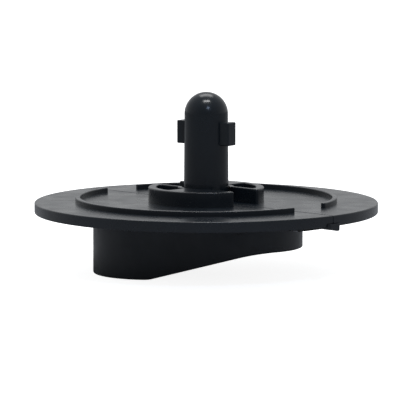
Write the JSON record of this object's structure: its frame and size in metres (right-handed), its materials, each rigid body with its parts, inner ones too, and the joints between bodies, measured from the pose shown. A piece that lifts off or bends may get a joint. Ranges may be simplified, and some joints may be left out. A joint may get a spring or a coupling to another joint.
{
  "type": "twist-lock spindle plate",
  "caption": "Round split plate clamped round a domed bayonet spindle with two lugs, turned by a hollow wedge grip below, with a sprung latch at the rim.",
  "frame": {"origin": "on the spindle's axis, level with the lowest face of the grip's deep end", "axes": "+Z along the spindle towards its domed tip; +X along the grip towards its shallow end; +Y towards the rear half plate's side"},
  "size_m": [0.12, 0.12, 0.0633],
  "materials": {
    "plate_plastic": "smooth satin-gloss black moulding",
    "spindle_plastic": "smooth gloss black moulding",
    "grip_plastic": "smooth satin black moulding",
    "latch_plastic": "smooth satin black moulding",
    "strap_plastic": "matt black glass-filled moulding",
    "cap_plastic": "matt black moulding",
    "bearing_plastic": "natural acetal",
    "fastener_steel": "zinc-plated steel",
    "spring_steel": "bright spring steel",
    "insert_brass": "machined brass"
  },
  "bodies": {
    "plate": {"front_half_plate": "plate_plastic", "rear_half_plate": "plate_plastic", "front_bush_half": "bearing_plastic", "rear_bush_half": "bearing_plastic", "latch_guide": "strap_plastic", "latch_spring": "spring_steel", "seam_tie": "strap_plastic", "guide_screw_1": "fastener_steel", "guide_screw_2": "fastener_steel", "guide_screw_3": "fastener_steel", "guide_screw_4": "fastener_steel", "tie_screw_1": "fastener_steel", "tie_screw_2": "fastener_steel", "tie_screw_3": "fastener_steel", "tie_screw_4": "fastener_steel"},
    "grip": {"spindle": "spindle_plastic", "spindle_insert": "insert_brass", "thrust_washer": "bearing_plastic", "wave_spring": "spring_steel", "stop_pin": "fastener_steel", "grip_shell": "grip_plastic", "grip_lid": "strap_plastic", "lid_screw_1": "fastener_steel", "lid_screw_2": "fastener_steel", "lid_screw_3": "fastener_steel", "lid_screw_4": "fastener_steel", "spindle_screw": "fastener_steel", "spindle_screw_washer": "fastener_steel", "screw_cap": "cap_plastic"},
    "latch": {"rim_latch": "latch_plastic"}
  },
  "joints": [
    {"name": "grip_turn", "type": "hinge", "parent": "plate", "child": "grip", "pos_m": [0, 0, 0.0213], "axis": [0, 0, 1], "range_deg": [0, 90]},
    {"name": "latch_slide", "type": "slide", "parent": "plate", "child": "latch", "axis": [0.7071, -0.7071, 0], "range_m": [-0.002, 0], "stiffness_N_per_m": 250, "springref_m": 0.002, "deforming": ["latch_spring"]}
  ]
}
